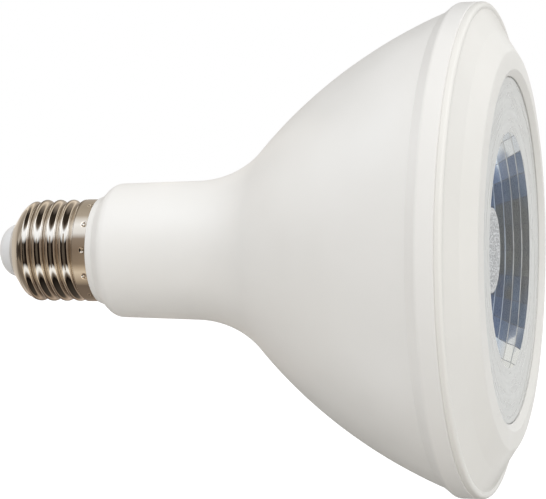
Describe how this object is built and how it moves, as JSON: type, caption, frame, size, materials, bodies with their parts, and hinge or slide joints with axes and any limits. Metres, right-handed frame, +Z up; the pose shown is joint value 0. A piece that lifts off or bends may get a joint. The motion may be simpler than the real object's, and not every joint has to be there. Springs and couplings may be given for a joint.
{
  "type": "par spotlight bulb",
  "caption": "Reflector spotlight bulb with a screw cap, a flared white housing, a bevelled rim and a faceted bowl behind a clear flat lens, for a lampholder.",
  "frame": {"origin": "the middle of the centre contact's end face, on the lamp's axis", "axes": "+X along the lamp's axis, from the screw cap to the lens, the way the light leaves; +Z up as in the picture"},
  "size_m": [0.1356, 0.122, 0.122],
  "materials": {
    "nickel_plate": "bright nickel plate with a warm tint",
    "cap_insulator": "pale bluish white, glossy",
    "contact_metal": "tinned, dull bright",
    "housing_plastic": "satin white",
    "ring_plastic": "satin white, slightly warmer than the housing",
    "lens_clear": "clear moulded plastic",
    "reflector_mirror": "bright metallised facets",
    "collimator_clear": "clear with a beaded top",
    "sink_aluminium": "plain spun",
    "pad_silicone": "matt grey blue",
    "led_board_white": "white solder mask",
    "emitter_phosphor": "yellow phosphor",
    "screw_steel": "zinc plate",
    "board_laminate": "green solder mask",
    "can_sleeve": "black sleeve",
    "film_dip": "red brown dip",
    "choke_drum": "dark ferrite with shrink tube",
    "fuse_body": "pale green lacquer",
    "core_ferrite": "dark ferrite",
    "coil_tape": "yellow tape",
    "chip_mould": "black mould",
    "wire_brown": "brown insulation",
    "wire_white": "white insulation",
    "wire_red": "red insulation",
    "wire_black": "black insulation"
  },
  "bodies": {
    "root": {"screw_shell": "nickel_plate", "base_insulator": "cap_insulator", "centre_contact": "contact_metal", "housing": "housing_plastic", "front_ring": "ring_plastic", "front_lens": "lens_clear", "reflector": "reflector_mirror", "collimator_lens": "collimator_clear", "heat_sink": "sink_aluminium", "thermal_pad": "pad_silicone", "led_board": "led_board_white", "led_emitter": "emitter_phosphor", "led_screws": "screw_steel", "driver_board": "board_laminate", "electrolytic_capacitor": "can_sleeve", "film_capacitor": "film_dip", "choke": "choke_drum", "fuse_resistor": "fuse_body", "transformer_core": "core_ferrite", "transformer_winding": "coil_tape", "bridge_rectifier": "chip_mould", "driver_chip": "chip_mould", "line_wire": "wire_brown", "neutral_wire": "wire_white", "led_wire_positive": "wire_red", "led_wire_negative": "wire_black"}
  },
  "joints": []
}
